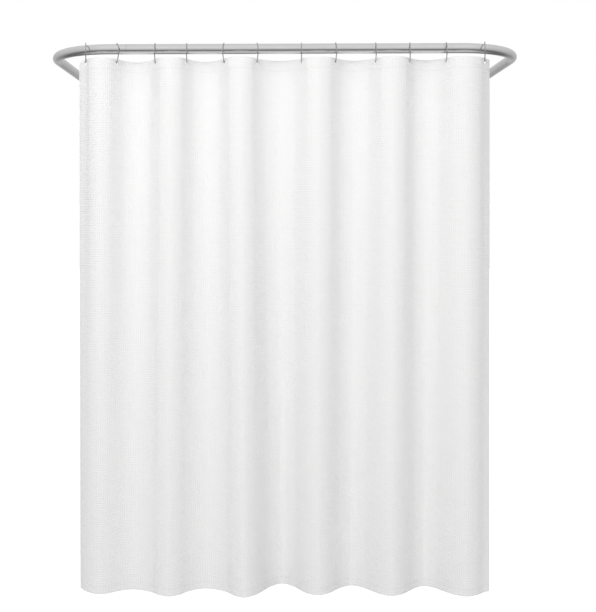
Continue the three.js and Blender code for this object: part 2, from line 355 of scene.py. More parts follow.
# Fine lines drawn along a piece, as polishing leaves them. Run holds two measures across it and one along.
def grainGroup(g):
    group, given, out = newGroup(
        "drawnGrain",
        [
            ("Run", "NodeSocketVector", None),
            ("Smoothest", "NodeSocketFloat", 0.1),
            ("Roughest", "NodeSocketFloat", 0.3),
        ],
        [("Roughness", "NodeSocketFloat"), ("Tone", "NodeSocketFloat"), ("Height", "NodeSocketFloat")],
    )
    fine = noise(group, stretched(group, given.outputs["Run"], g["fine"]), 1.0, 3.0, 0.6)
    broad = noise(group, stretched(group, given.outputs["Run"], g["broad"]), 1.0, 2.0)
    rest = calc(group, "MULTIPLY", broad, 1 - g["fineShare"])
    both = calc(group, "MULTIPLY_ADD", fine, g["fineShare"], rest)
    rough = spread(group, both, 0.3, 0.7, given.outputs["Smoothest"], given.outputs["Roughest"])
    group.links.new(rough, out.inputs["Roughness"])
    group.links.new(spread(group, both, 0.25, 0.75, g["darkest"], 1.0), out.inputs["Tone"])
    group.links.new(fine, out.inputs["Height"])
    return group


hazeLook = {"patches": 38.0, "clearBelow": 0.42, "fullAbove": 0.7, "darkening": 0.5}


# Faint dulling in patches, as handling and steam leave on bright metal.
def hazeGroup(z):
    group, given, out = newGroup(
        "handlingHaze",
        [
            ("Place", "NodeSocketVector", None),
            ("Roughness", "NodeSocketFloat", 0.2),
            ("Amount", "NodeSocketFloat", 0.1),
        ],
        [("Roughness", "NodeSocketFloat"), ("Tone", "NodeSocketFloat")],
    )
    patches = noise(group, given.outputs["Place"], z["patches"], 4.0, 0.6)
    mask = spread(group, patches, z["clearBelow"], z["fullAbove"], 0.0, 1.0)
    added = calc(group, "MULTIPLY", mask, given.outputs["Amount"])
    group.links.new(calc(group, "ADD", given.outputs["Roughness"], added), out.inputs["Roughness"])
    darker = calc(group, "MULTIPLY", added, z["darkening"])
    group.links.new(calc(group, "SUBTRACT", 1.0, darker), out.inputs["Tone"])
    return group


waffleWeave, drawnGrain, handlingHaze = waffleGroup(weaveLook), grainGroup(grainLook), hazeGroup(hazeLook)


def newMaterial(name):
    material = bpy.data.materials.new(name)
    material.use_nodes = True
    return material, material.node_tree, material.node_tree.nodes["Principled BSDF"]


def placed(tree, group, **values):
    node = tree.nodes.new("ShaderNodeGroup")
    node.node_tree = group
    for label, value in values.items():
        if isinstance(value, (int, float)):
            node.inputs[label].default_value = value
        else:
            tree.links.new(value, node.inputs[label])
    return node


def tinted(tree, colour, tone, shader):
    node = tree.nodes.new("ShaderNodeMix")
    node.data_type, node.blend_type = "RGBA", "MULTIPLY"
    node.inputs["Factor"].default_value = 1.0
    node.inputs["A"].default_value = (*colour, 1)
    tree.links.new(tone, node.inputs["B"])
    tree.links.new(node.outputs["Result"], shader.inputs["Base Color"])


def bumped(tree, height, distance, strength, shader):
    node = tree.nodes.new("ShaderNodeBump")
    node.inputs["Distance"].default_value = distance
    node.inputs["Strength"].default_value = strength
    tree.links.new(height, node.inputs["Height"])
    tree.links.new(node.outputs["Normal"], shader.inputs["Normal"])


clothLook = {
    "colour": (0.935, 0.937, 0.935),
    "cell": 0.0081,
    "thread": 0.0009,
    "pitShade": 0.07,
    "relief": 0.0014,
    "reliefStrength": 0.7,
    "sheen": 0.25,
    "seamHalf": 0.0016,
    "seamShade": 0.03,
}


# One where the cloth is within half a seam's width of a stitched line, fading to nothing beside it.
def seamLines(tree, measure, lines, half):
    split = tree.nodes.new("ShaderNodeSeparateXYZ")
    tree.links.new(measure, split.inputs[0])
    found = 0.0
    for axis, at in lines:
        away = calc(tree, "ABSOLUTE", calc(tree, "SUBTRACT", split.outputs[axis], at))
        found = calc(tree, "MAXIMUM", spread(tree, away, half, 2 * half, 1.0, 0.0), found)
    return found


def clothMaterial(name, look, flatWidth, seams):
    material, tree, shader = newMaterial(name)
    flat = tree.nodes.new("ShaderNodeUVMap")
    flat.uv_map = "flatCloth"
    measure = stretched(tree, flat.outputs["UV"], (flatWidth, flatWidth, 1.0))
    weave = placed(tree, waffleWeave, Cloth=measure, Cell=look["cell"], Thread=look["thread"])
    slub = noise(tree, stretched(tree, measure, (30.0, 260.0, 1.0)), 1.0, 3.0)
    shade = calc(tree, "MULTIPLY", weave.outputs["Pit"], look["pitShade"])
    uneven = spread(tree, slub, 0.3, 0.7, 0.0, 0.018)
    tone = calc(tree, "SUBTRACT", calc(tree, "SUBTRACT", 1.0, shade), uneven)
    seam = seamLines(tree, measure, seams, look["seamHalf"])
    tone = calc(tree, "SUBTRACT", tone, calc(tree, "MULTIPLY", seam, look["seamShade"]))
    tinted(tree, look["colour"], tone, shader)
    tree.links.new(spread(tree, weave.outputs["Pit"], 0.0, 1.0, 0.82, 0.95), shader.inputs["Roughness"])
    bumped(tree, weave.outputs["Height"], look["relief"], look["reliefStrength"], shader)
    shader.inputs["Sheen Weight"].default_value = look["sheen"]
    shader.inputs["Sheen Roughness"].default_value = 0.5
    shader.inputs["Specular IOR Level"].default_value = 0.2
    return material


def threadMaterial():
    material, tree, shader = newMaterial("sewingThread")
    coords = tree.nodes.new("ShaderNodeTexCoord")
    twist = noise(tree, stretched(tree, coords.outputs["Object"], (900.0, 900.0, 1600.0)), 1.0, 2.0)
    tinted(tree, (0.93, 0.93, 0.925), spread(tree, twist, 0.3, 0.7, 0.9, 1.0), shader)
    bumped(tree, twist, 0.0002, 0.4, shader)
    shader.inputs["Roughness"].default_value = 0.62
    shader.inputs["Sheen Weight"].default_value = 0.2
    return material


def metalMaterial(name, colour, smooth, rough, haze, run=None):
    material, tree, shader = newMaterial(name)
    coords = tree.nodes.new("ShaderNodeTexCoord")
    place = coords.outputs["Object"]
    if run:
        own = tree.nodes.new("ShaderNodeAttribute")
        own.attribute_name = run
        along = own.outputs["Vector"]
    else:
        along = place
    grain = placed(tree, drawnGrain, Run=along, Smoothest=smooth, Roughest=rough)
    dull = placed(tree, handlingHaze, Place=place, Roughness=grain.outputs["Roughness"], Amount=haze)
    tone = calc(tree, "MULTIPLY", grain.outputs["Tone"], dull.outputs["Tone"])
    tinted(tree, colour, tone, shader)
    tree.links.new(dull.outputs["Roughness"], shader.inputs["Roughness"])
    bumped(tree, grain.outputs["Height"], 0.00003, 0.3, shader)
    shader.inputs["Metallic"].default_value = 1.0
    return material


sewing = threadMaterial()
tubeMetal = metalMaterial("brightTube", (0.73, 0.73, 0.735), 0.12, 0.22, 0.05, "tubeRun")
coverMetal = metalMaterial("coverBright", (0.72, 0.72, 0.73), 0.12, 0.22, 0.08)
wireMetal = metalMaterial("polishedWire", (0.52, 0.525, 0.53), 0.07, 0.14, 0.05, "tubeRun")
zinc = metalMaterial("zincSteel", (0.60, 0.61, 0.62), 0.28, 0.46, 0.16)
print("materials")


rodSize = {
    "radius": 15.875 * mm,
    "wall": 1.2 * mm,
    "sides": 72,
    "run": -0.914,  # y of the front run's axis
    "legX": 0.825,
    "bendRadius": 0.225,
    "tail": 0.060,
    "bendSteps": 40,
    "frontSteps": 12,
    "legSteps": 8,
    "seam": 0.15 * mm,
    "edge": 0.35 * mm,
    "holeSpare": 0.4 * mm,
    "drill": 16.0 * mm,
    "drillOut": 3.0 * mm,
}


def ringAt(place, facing, radius, sides):
    bpy.ops.object.select_all(action="DESELECT")
    turn = Vector((0, 0, 1)).rotation_difference(Vector(facing)).to_euler()
    bpy.ops.mesh.primitive_circle_add(vertices=sides, radius=radius, location=place, rotation=turn)
    ring = bpy.context.object
    bakePlace(ring)
    return ring


def pushOut(move):
    bpy.ops.mesh.extrude_region_move(TRANSFORM_OT_translate={"value": move})


# Writes, for each point of a tube, where it is round the middle line and how far along it.
def markRun(piece, middle):
    spots = np.array(middle)
    steps = np.diff(spots, axis=0)
    lengths = np.linalg.norm(steps, axis=1)
    before = np.concatenate([[0], np.cumsum(lengths)])
    run = piece.data.attributes.new("tubeRun", "FLOAT_VECTOR", "POINT")
    values = []
    for vertex in piece.data.vertices:
        p = np.array(vertex.co)
        share = np.clip(np.einsum("ij,ij->i", p - spots[:-1], steps) / lengths**2, 0, 1)
        feet = spots[:-1] + steps * share[:, None]
        k = int(np.argmin(np.linalg.norm(feet - p, axis=1)))
        along = steps[k] / lengths[k]
        up = np.array((0.0, 0.0, 1.0)) if abs(along[2]) < 0.7 else np.array((1.0, 0.0, 0.0))
        side = np.cross(along, up)
        side /= np.linalg.norm(side)
        out = p - feet[k]
        values.extend((out @ side, out @ np.cross(side, along), before[k] + share[k] * lengths[k]))
    run.data.foreach_set("vector", values)


def tubeShell(ring, r):
    wall = ring.modifiers.new("wall", "SOLIDIFY")
    wall.thickness, wall.offset, wall.use_rim = r["wall"], -1, True
    bakeModifiers(ring)
    closeUp(ring)
    rim = ring.modifiers.new("rim", "BEVEL")
    rim.width, rim.segments, rim.limit_method = r["edge"], 2, "ANGLE"
    rim.angle_limit = math.radians(50)
    bakeModifiers(ring)


# Joint screws on the front run face the wall; the others stand on top of the tube.
def drillFor(tube, screws, r):
    cutters = []
    for screw in screws:
        low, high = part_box(screw)
        middle = (low + high) / 2
        outward = Vector((0, 0, 1)) if middle.z > r["radius"] / 2 else Vector((0, 1, 0))
        radius = (high.x - low.x) / 2 + r["holeSpare"]
        cutters.append(cylinderCutter(middle + outward * r["drillOut"], radius, r["drill"], outward))
    cutAway(tube, cutters)


def frontTube(r):
    half = r["legX"] - r["bendRadius"] - r["tail"] - r["seam"]
    ring = ringAt((-half, r["run"], 0), (1, 0, 0), r["radius"], r["sides"])
    startEdit(ring)
    bpy.ops.mesh.select_all(action="SELECT")
    for _ in range(r["frontSteps"]):
        pushOut((2 * half / r["frontSteps"], 0, 0))
    endEdit()
    tubeShell(ring, r)
    return ring, [(-half, r["run"], 0), (half, r["run"], 0)]


def cornerTube(r, side):
    start = side * (r["legX"] - r["bendRadius"] - r["tail"] + r["seam"])
    straight = side * (r["tail"] - r["seam"])
    bendX, bendY = side * (r["legX"] - r["bendRadius"]), r["run"] + r["bendRadius"]
    ring = ringAt((start, r["run"], 0), (side, 0, 0), r["radius"], r["sides"])
    startEdit(ring)
    bpy.ops.mesh.select_all(action="SELECT")
    pushOut((straight, 0, 0))
    bpy.ops.mesh.spin(
        steps=r["bendSteps"], angle=-side * math.pi / 2, center=(bendX, bendY, 0), axis=(0, 0, 1)
    )
    pushOut((0, r["tail"] - r["seam"], 0))
    endEdit()
    tubeShell(ring, r)
    middle = [(start, r["run"], 0), (bendX, r["run"], 0)]
    for k in range(1, r["bendSteps"] + 1):
        a = math.pi / 2 * k / r["bendSteps"]
        middle.append((
            bendX + side * r["bendRadius"] * math.sin(a),
            bendY - r["bendRadius"] * math.cos(a),
            0,
        ))
    middle.append((side * r["legX"], bendY + r["tail"], 0))
    return ring, middle


def legTube(r, word, side):
    low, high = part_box(word + "_leg_tube")
    ring = ringAt((side * r["legX"], low.y, 0), (0, 1, 0), r["radius"], r["sides"])
    startEdit(ring)
    bpy.ops.mesh.select_all(action="SELECT")
    for _ in range(r["legSteps"]):
        pushOut((0, (high.y - low.y) / r["legSteps"], 0))
    endEdit()
    tubeShell(ring, r)
    return ring, [(side * r["legX"], low.y, 0), (side * r["legX"], high.y, 0)]


def finishTube(tube, middle, screws, name, node, r):
    if screws:
        drillFor(tube, screws, r)
    closeUp(tube)
    markRun(tube, middle)
    hand(tube, name, tubeMetal, "tube", "rod", node)


def jointScrews(word, where):
    return [f"{word}_{where}_joiner_screw_{k}" for k in (1, 2)]


def makeRod(r):
    tube, middle = frontTube(r)
    screws = [f"{word}_front_joiner_screw_{k}" for word in ("left", "right") for k in (1, 2)]
    screws = [s for s in screws if abs(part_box(s)[0].x) < r["legX"] - r["bendRadius"] - r["tail"]]
    finishTube(tube, middle, screws, "frontTube", "front_tube", r)
    for word, side in (("left", -1), ("right", 1)):
        tube, middle = cornerTube(r, side)
        low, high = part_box(word + "_corner_tube")
        every = jointScrews(word, "front") + jointScrews(word, "leg")
        inside = [
            s for s in every
            if low.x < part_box(s)[0].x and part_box(s)[1].x < high.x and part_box(s)[1].y < high.y
        ]
        finishTube(tube, middle, inside, word + "CornerTube", word + "_corner_tube", r)
        tube, middle = legTube(r, word, side)
        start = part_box(word + "_leg_tube")[0].y
        inside = [s for s in jointScrews(word, "leg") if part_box(s)[0].y > start]
        inside.append(word + "_bracket_screw")
        finishTube(tube, middle, inside, word + "LegTube", word + "_leg_tube", r)


makeRod(rodSize)
print("rod")


fixingSize = {
    "plateRadius": 30.0 * mm,
    "plate": 5.0 * mm,
    "spigotRadius": 14.375 * mm,
    "spigot": 30.0 * mm,
    "bore": 10.0 * mm,
    "plateEdge": 0.8 * mm,
    "grubDrill": 14.0 * mm,
    "holeSpare": 0.4 * mm,
    "screwRadius": 2.0 * mm,
    "headRadius": 3.9 * mm,
    "headHeight": 2.6 * mm,
    "domeAngles": (0.45, 0.8, 1.15, 1.45),
    "recess": 1.5 * mm,
    "recessCross": (0.85 * mm, 4.4 * mm),  # width and length of each arm
    "threadTurns": 15,
    "threadRoot": 0.74,  # as a share of the screw's radius
    "threadHalf": 0.5 * mm,
    "plainEnds": (2.0 * mm, 4.0 * mm),  # left without thread under the head and at the tip
    "screwSides": 24,
    "coverRadius": 35.0 * mm,
    "coverDepth": 16.0 * mm,
    "coverBore": 16.275 * mm,
    "coverWall": 1.0 * mm,
    "coverEdge": 4.0 * mm,
    "coverGap": 0.3 * mm,
    "coverCurve": 6,
    "coverSoft": 0.25 * mm,
    "coverSides": 96,
    "sides": 72,
}


# Turns an outline of (distance from the axis, distance from the wall) round a leg's axis.
def turnedPiece(outline, x, sides, closed=True):
    points = [(x + out, -along, 0) for out, along in outline]
    data = bpy.data.meshes.new("turned")
    count = len(points)
    edges = [(k, k + 1) for k in range(count - 1)] + ([(count - 1, 0)] if closed else [])
    data.from_pydata(points, edges, [])
    piece = bpy.data.objects.new("turned", data)
    bpy.context.scene.collection.objects.link(piece)
    startEdit(piece)
    bpy.ops.mesh.select_all(action="SELECT")
    bpy.ops.mesh.spin(steps=sides, angle=2 * math.pi, center=(x, 0, 0), axis=(0, 1, 0))
    bpy.ops.mesh.select_all(action="SELECT")
    bpy.ops.mesh.remove_doubles(threshold=0.00001)
    bpy.ops.mesh.normals_make_consistent(inside=False)
    endEdit()
    return piece


def softEdges(piece, width, segments=2, angle=40):
    edge = piece.modifiers.new("edge", "BEVEL")
    edge.width, edge.segments, edge.limit_method = width, segments, "ANGLE"
    edge.angle_limit = math.radians(angle)
    bakeModifiers(piece)


def makeBracket(f, word, x):
    plate, tall = f["plate"], f["plate"] + f["spigot"]
    outline = [
        (f["bore"], 0), (f["plateRadius"], 0), (f["plateRadius"], plate),
        (f["spigotRadius"], plate), (f["spigotRadius"], tall), (f["bore"], tall),
    ]
    bracket = turnedPiece(outline, x, f["sides"])
    softEdges(bracket, f["plateEdge"])
    cutters = []
    for k in (1, 2, 3):
        low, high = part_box(f"{word}_wall_screw_{k}")
        middle = (low + high) / 2
        place = (middle.x, -plate / 2, middle.z)
        cutters.append(cylinderCutter(place, f["screwRadius"] + f["holeSpare"], 4 * plate, (0, 1, 0)))
    low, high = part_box(word + "_bracket_screw")
    middle = (low + high) / 2
    grubHole = (high.x - low.x) / 2 + f["holeSpare"]
    cutters.append(cylinderCutter(middle, grubHole, f["grubDrill"], (0, 0, 1)))
    cutAway(bracket, cutters)
    closeUp(bracket)
    hand(bracket, word + "WallBracket", zinc, "fixing", "rod", word + "_wall_bracket")


# A wall screw's outline as (distance from its axis, distance from the wall), from its domed top to its tip.
def wallScrewOutline(f, base, tip):
    r, head, deep = f["screwRadius"], f["headRadius"], f["headHeight"]
    outline = [(0, base + deep)]
    for a in f["domeAngles"]:
        outline.append((head * math.sin(a), base + deep * (0.35 + 0.65 * math.cos(a))))
    outline += [(head, base + deep * 0.2), (head * 0.96, base), (r * 0.8, base)]
    start, end = base - f["plainEnds"][0], tip + f["plainEnds"][1]
    root, half = r * f["threadRoot"], f["threadHalf"]
    for turn in range(f["threadTurns"]):
        along = start - (start - end) * turn / (f["threadTurns"] - 1)
        outline += [(root, along + half), (r, along), (root, along - half)]
    return [*outline, (0, tip)]


def recessArm(f, place, wide, tall):
    bpy.ops.object.select_all(action="DESELECT")
    bpy.ops.mesh.primitive_cube_add(size=1, location=place)
    arm = bpy.context.object
    arm.scale = (wide, 2 * f["recess"], tall)
    bakePlace(arm)
    return arm


def makeWallScrews(f, word):
    for k in (1, 2, 3):
        low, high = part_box(f"{word}_wall_screw_{k}")
        x, z, top = (low.x + high.x) / 2, (low.z + high.z) / 2, low.y
        base = -top - f["headHeight"]  # underside of the head, from the wall
        tip = base - (high.y - low.y - f["headHeight"])
        screw = turnedPiece(wallScrewOutline(f, base, tip), 0, f["screwSides"], closed=False)
        for vertex in screw.data.vertices:
            vertex.co += Vector((x, 0, z))
        thin, long = f["recessCross"]
        arms = [recessArm(f, (x, top, z), thin, long), recessArm(f, (x, top, z), long, thin)]
        cutAway(screw, arms[:1])
        cutAway(screw, arms[1:])
        closeUp(screw)
        hand(screw, f"{word}WallScrew{k}", zinc, "fixing", "rod", f"{word}_wall_screw_{k}")


def makeCover(f, word, x):
    radius, depth, bore = f["coverRadius"], f["coverDepth"], f["coverBore"]
    wall, edge, gap = f["coverWall"], f["coverEdge"], f["coverGap"]
    lip = radius - 3 * edge
    turns = [math.pi / 2 * k / f["coverCurve"] for k in range(f["coverCurve"] + 1)]
    outer, inner = [], []
    for a in turns:
        out = radius - edge + edge * math.cos(a)
        along = depth - 2 * edge + 1.4 * edge * math.sin(a)
        outer.append((out, along))
        inner.append((out - wall * math.cos(a), along - wall * math.sin(a)))
    face = [(lip, depth), (bore, depth), (bore, depth - wall), (lip, depth - wall)]
    outline = [(radius, gap), *outer, *face, *reversed(inner), (radius - wall, gap)]
    cover = turnedPiece(outline, x, f["coverSides"])
    softEdges(cover, f["coverSoft"], 2, 60)
    closeUp(cover, 50)
    hand(cover, word + "WallCover", coverMetal, "cover", word + "_cover", word + "_wall_cover")


def makeFixings(f):
    for word, side in (("left", -1), ("right", 1)):
        x = side * rodSize["legX"]
        makeBracket(f, word, x)
        makeWallScrews(f, word)
        makeCover(f, word, x)
    for name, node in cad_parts.items():
        if "joiner" in name or name.endswith("bracket_screw"):
            node.data.materials.clear()
            node.data.materials.append(zinc)


makeFixings(fixingSize)
print("wall fixings")


hookSize = {
    "wire": 1.8 * mm,  # radius
    "inside": 26.0 * mm,  # arch
    "height": 70.0 * mm,
    "foot": 7.0 * mm,
    "open": 5.0,  # degrees
    "return": 0.6,
    "tip": 2.9 * mm,
    "archSteps": 56,
    "footSteps": 28,
    # middles of the hooks along the rod, and the rod's own line, in mm
    "x": [-682.07, -574.98, -443.34, -335.58, -208.71, -96.17, 55.25, 171.2, 308.3, 424.93, 548.38, 682.07],
    "y": -914.0,
    "endForward": 7.75,  # the end hooks hang this much nearer the wall
    "top": (16.875, 20.675),  # inside of the arch, middle hooks and end hooks
    "turn": [12, 24, 2, 3, -6, 8, -1, 5, -2, -6, -4, -12],  # degrees from square to the rod
}


def hookLine(h):
    archRadius, archMiddle = h["inside"] + h["wire"], -h["inside"]
    footMiddle = h["wire"] * 3 - h["height"] + h["foot"]
    taper = math.asin((archRadius - h["foot"]) / (archMiddle - footMiddle))

    def arc(middle, radius, start, end, steps):
        angles = [start + (end - start) * k / steps for k in range(steps + 1)]
        return [Vector((0, radius * math.cos(a), middle + radius * math.sin(a))) for a in angles]

    line = arc(archMiddle, archRadius, math.radians(h["open"]), math.pi + taper, h["archSteps"])
    line += arc(footMiddle, h["foot"], math.pi + taper, 2 * math.pi - taper, h["footSteps"])
    top = Vector((0, archRadius * math.cos(taper), archMiddle - archRadius * math.sin(taper)))
    line.append(line[-1].lerp(top, h["return"]))
    return line


def makeHook(h):
    line = hookLine(h)
    path = bpy.data.curves.new("hookWire", "CURVE")
    path.dimensions, path.use_fill_caps = "3D", True
    path.bevel_depth, path.bevel_resolution = h["wire"], 3
    spline = path.splines.new("POLY")
    spline.points.add(len(line) - 1)
    for point, place in zip(spline.points, line):
        point.co = (*place, 1)
    hook = bpy.data.objects.new("hookWire", path)
    bpy.context.scene.collection.objects.link(hook)
    onlySelect(hook)
    bpy.ops.object.convert(target="MESH")
    hook = bpy.context.object
    startEdit(hook)
    bpy.ops.mesh.select_all(action="SELECT")
    bpy.ops.mesh.remove_doubles(threshold=0.000001)
    bpy.ops.mesh.normals_make_consistent(inside=False)
    endEdit()
    for end in (line[0], line[-1]):
        bpy.ops.object.select_all(action="DESELECT")
        bpy.ops.mesh.primitive_uv_sphere_add(segments=20, ring_count=12, radius=h["tip"], location=end)
        ball = bpy.context.object
        bakePlace(ball)
        tip = hook.modifiers.new("tip", "BOOLEAN")
        tip.operation, tip.solver, tip.object = "UNION", "EXACT", ball
        bakeModifiers(hook)
        bpy.data.objects.remove(ball)
    closeUp(hook, 40)
    markRun(hook, line)
    return hook


def hookPlace(h, k):
    end = k in (0, len(h["x"]) - 1)
    y = h["y"] + (h["endForward"] if end else 0)
    turn = Matrix.Rotation(math.radians(h["turn"][k]), 4, "Z")
    return Matrix.Translation((h["x"][k] * mm, y * mm, h["top"][end] * mm)) @ turn


def hangHooks(h):
    first = makeHook(h)
    for k in range(len(h["x"])):
        number = f"{k + 1:02d}"
        hook = bpy.data.objects.new("hook", first.data.copy())
        bpy.context.scene.collection.objects.link(hook)
        hook.data.transform(hookPlace(h, k))
        hand(hook, "wireHook" + number, wireMetal, "wire", "hook_" + number, "hook_" + number)
    bpy.data.objects.remove(first)


hangHooks(hookSize)
print("hooks")


clothSize = {
    "width": 1.829,
    "height": 1.829,
    "top": -32.825 * mm,
    "thick": 1.1 * mm,
    "backThick": 1.0 * mm,
    "backOffset": 1.15 * mm,
    "header": 38 * mm,
    "bottomHem": 28 * mm,
    "sideHem": 12 * mm,
    "holeDrop": 13 * mm,
    "hole": (9.0 * mm, 6.3 * mm),  # half its width and half its height
    # how far the cloth's side edges lie past the end hooks and behind them, at the top and at the hem
    "leftOut": (27.0, 25.0),
    "rightOut": (21.0, 21.5),
    "leftBack": (22.0, 30.0),
    "rightBack": (22.0, 9.0),
    # depth of each fold, at the top and at the hem
    "forward": ([34, 35, 36, 34, 35, 35], [19, 33, 42, 26, 33, 34]),
    "backward": ([36, 35, 35, 35, 34], [22, 27, 62, 46, 40]),
    # how far each fold has wandered along the rod by the hem
    "wander": [-10, -17, -19, -7, 3, 10, 0, -14, -13, -8, -9, -8],
    "sagBack": [6.0, 5.0, 2.5, 2.5, 1.5],
    "sagFront": [0.6, 0.8, 0.5, 0.8, 0.6, 0.6],
    "flare": 0.001,
    "takeUp": 0.945,  # width of the hung cloth as a share of its cut, which the weave draws in
    "shapeTop": ((0.19, 0.66), (0.5, 1.0), (0.81, 0.66)),
    "shapeHem": ((0.22, 0.64), (0.5, 1.0), (0.78, 0.64)),
    # how the right edge's end comes forward by the hem, and how each edge's top corner droops
    "endForward": 16.0,
    "leftDroop": (13 * mm, 2.2),
    "rightDroop": (3 * mm, 2),
    "droopFade": 0.05,
    "sagPower": 1.4,
    "sagFade": 0.6,
    "bendShare": 0.35,
    # how finely the lines are worked out
    "levels": 84,
    "stops": 916,
    "lineSteps": 24,
    "searchSteps": 12,
    "searchTries": 12,
    "searchRange": (0.3, 2.0),
    "holeLevel": 0.007,
    "holeSteps": 20,
    "slopeReach": 3 * mm,
    # the mesh's rows, from the top edge and above the hem's edge
    "columns": 300,
    "rowStep": 18 * mm,
    "topRows": [0, 2, 5, 9, 13, 17, 22, 27, 32, 38],
    "firstRow": 56,
    "lastRow": 30,
    "hemRows": [28, 18, 8, 0],
    "hemBackRows": [28, 19, 9, 0.2],
}


def smoothStep(t):
    t = np.clip(t, 0, 1)
    return t * t * (3 - 2 * t)


# A smooth line through the points, evenly knotted by the root of their spacing.
def smoothLine(points, steps):
    points = np.array(points, float)
    padded = np.vstack([2 * points[0] - points[1], points, 2 * points[-1] - points[-2]])
    share = np.linspace(0, 1, steps, endpoint=False)[:, None]
    line = []
    for k in range(len(points) - 1):
        p = padded[k:k + 4]
        knots = np.concatenate([[0], np.cumsum(np.linalg.norm(np.diff(p, axis=0), axis=1) ** 0.5)])
        t = knots[1] + share * (knots[2] - knots[1])

        def between(a, b, low, high):
            whole = knots[high] - knots[low]
            return a * (knots[high] - t) / whole + b * (t - knots[low]) / whole

        a1, a2, a3 = between(p[0], p[1], 0, 1), between(p[1], p[2], 1, 2), between(p[2], p[3], 2, 3)
        line.append(between(between(a1, a2, 0, 2), between(a2, a3, 1, 3), 1, 2))
    return np.vstack(line + [points[-1:]])


def lengthsAlong(line):
    return np.concatenate([[0], np.cumsum(np.linalg.norm(np.diff(line, axis=0), axis=1))])


# The curtain's middle surface: each level is one line, and all the lines are equally long.
class HungCloth:
    def __init__(self, c, h):
        self.c, self.h = c, h
        self.front = c["thick"] / 2
        self.back = c["backOffset"] + c["backThick"] / 2
        self.levels = np.linspace(0, 1, c["levels"])
        self.grid = np.linspace(0, c["width"], c["stops"])
        self.lines = np.array([self.level(t) for t in self.levels])
        steps, level = c["holeSteps"], c["holeLevel"]
        lengths = lengthsAlong(smoothLine(self.points(level, self.deep(level)), steps))
        self.holes = [lengths[steps * (1 + 4 * k)] * c["width"] / lengths[-1] for k in range(12)]
        self.sags = self.sagLine()
        self.droops = self.droopLine()

    def points(self, t, deep):
        c, h = self.c, self.h
        low = smoothStep(t) * c["bendShare"] + t * (1 - c["bendShare"])
        xs = np.array(h["x"]) + np.array(c["wander"]) * low
        xs = xs * (1 + c["flare"] * t)
        ys = np.full(12, h["y"])
        ys[[0, -1]] += h["endForward"]
        ys[-1] -= t * c["endForward"]
        leftOut, rightOut = (np.interp(t, (0, 1), c[side]) for side in ("leftOut", "rightOut"))
        shape = np.array(c["shapeTop"]) * (1 - low) + np.array(c["shapeHem"]) * low
        depths = []
        for k in range(11):
            kind, sign = ("backward", 1) if k % 2 else ("forward", -1)
            top, hem = (c[kind][row][k // 2] for row in (0, 1))
            depths.append(sign * (top + (hem - top) * low) * deep)
        spots = [(xs[0] - leftOut, ys[0] + np.interp(t, (0, 1), c["leftBack"]))]
        for k in range(12):
            spots.append((xs[k], ys[k]))
            if k < 11:
                for along, share in shape:
                    spots.append((
                        xs[k] + (xs[k + 1] - xs[k]) * along,
                        ys[k] + (ys[k + 1] - ys[k]) * along + depths[k] * share,
                    ))
        spots.append((xs[11] + rightOut, ys[11] + np.interp(t, (0, 1), c["rightBack"])))
        return np.array(spots) * mm

    def deep(self, t):
        low, high = self.c["searchRange"]
        for _ in range(self.c["searchTries"]):
            middle = (low + high) / 2
            line = smoothLine(self.points(t, middle), self.c["searchSteps"])
            short = lengthsAlong(line)[-1] < self.c["width"] * self.c["takeUp"]
            low, high = (middle, high) if short else (low, middle)
        return (low + high) / 2

    def level(self, t):
        line = smoothLine(self.points(t, self.deep(t)), self.c["lineSteps"])
        lengths = lengthsAlong(line)
        lengths *= self.c["width"] / lengths[-1]
        return np.stack([np.interp(self.grid, lengths, line[:, i]) for i in (0, 1)], axis=1)

    def sagLine(self):
        c = self.c
        sag = np.zeros_like(self.grid)
        for k in range(11):
            start, end = self.holes[k], self.holes[k + 1]
            deep = (c["sagBack"] if k % 2 else c["sagFront"])[k // 2] * mm
            inside = (self.grid > start) & (self.grid < end)
            share = (self.grid[inside] - start) / (end - start)
            sag[inside] = deep * np.sin(math.pi * share) ** c["sagPower"]
        return sag

    def droopLine(self):
        c = self.c
        left = np.clip((self.holes[0] - self.grid) / self.holes[0], 0, 1)
        right = np.clip((self.grid - self.holes[-1]) / (c["width"] - self.holes[-1]), 0, 1)
        (leftDeep, leftPower), (rightDeep, rightPower) = c["leftDroop"], c["rightDroop"]
        return leftDeep * left**leftPower + rightDeep * right**rightPower

    # Places for widths along the cloth and drops from its top edge, set out by some distance behind.
    def at(self, along, drop, behind=0.0):
        along, drop = np.broadcast_arrays(np.asarray(along, float), np.asarray(drop, float))
        level = np.clip(drop / self.c["height"], 0, 1) * (len(self.levels) - 1)
        low = np.minimum(level.astype(int), len(self.levels) - 2)
        part = level - low

        def spot(where):
            column = np.clip(where / self.c["width"], 0, 1) * (len(self.grid) - 1)
            left = np.minimum(column.astype(int), len(self.grid) - 2)
            share = (column - left)[..., None]
            rows = [
                self.lines[low + k, left] * (1 - share) + self.lines[low + k, left + 1] * share
                for k in (0, 1)
            ]
            return rows[0] * (1 - part[..., None]) + rows[1] * part[..., None]

        place = spot(along)
        slope = spot(along + self.c["slopeReach"]) - spot(along - self.c["slopeReach"])
        slope /= np.linalg.norm(slope, axis=-1)[..., None]
        place = place + np.stack([-slope[..., 1], slope[..., 0]], axis=-1) * np.asarray(behind)[..., None]
        fade = 1 - self.c["sagFade"] * smoothStep(drop / self.c["height"])
        sag = np.interp(along, self.grid, self.sags) * fade
        near = np.exp(-((drop / self.c["droopFade"]) ** 2))
        z = self.c["top"] - drop - sag - np.interp(along, self.grid, self.droops) * near
        return np.stack([place[..., 0], place[..., 1], z], axis=-1)


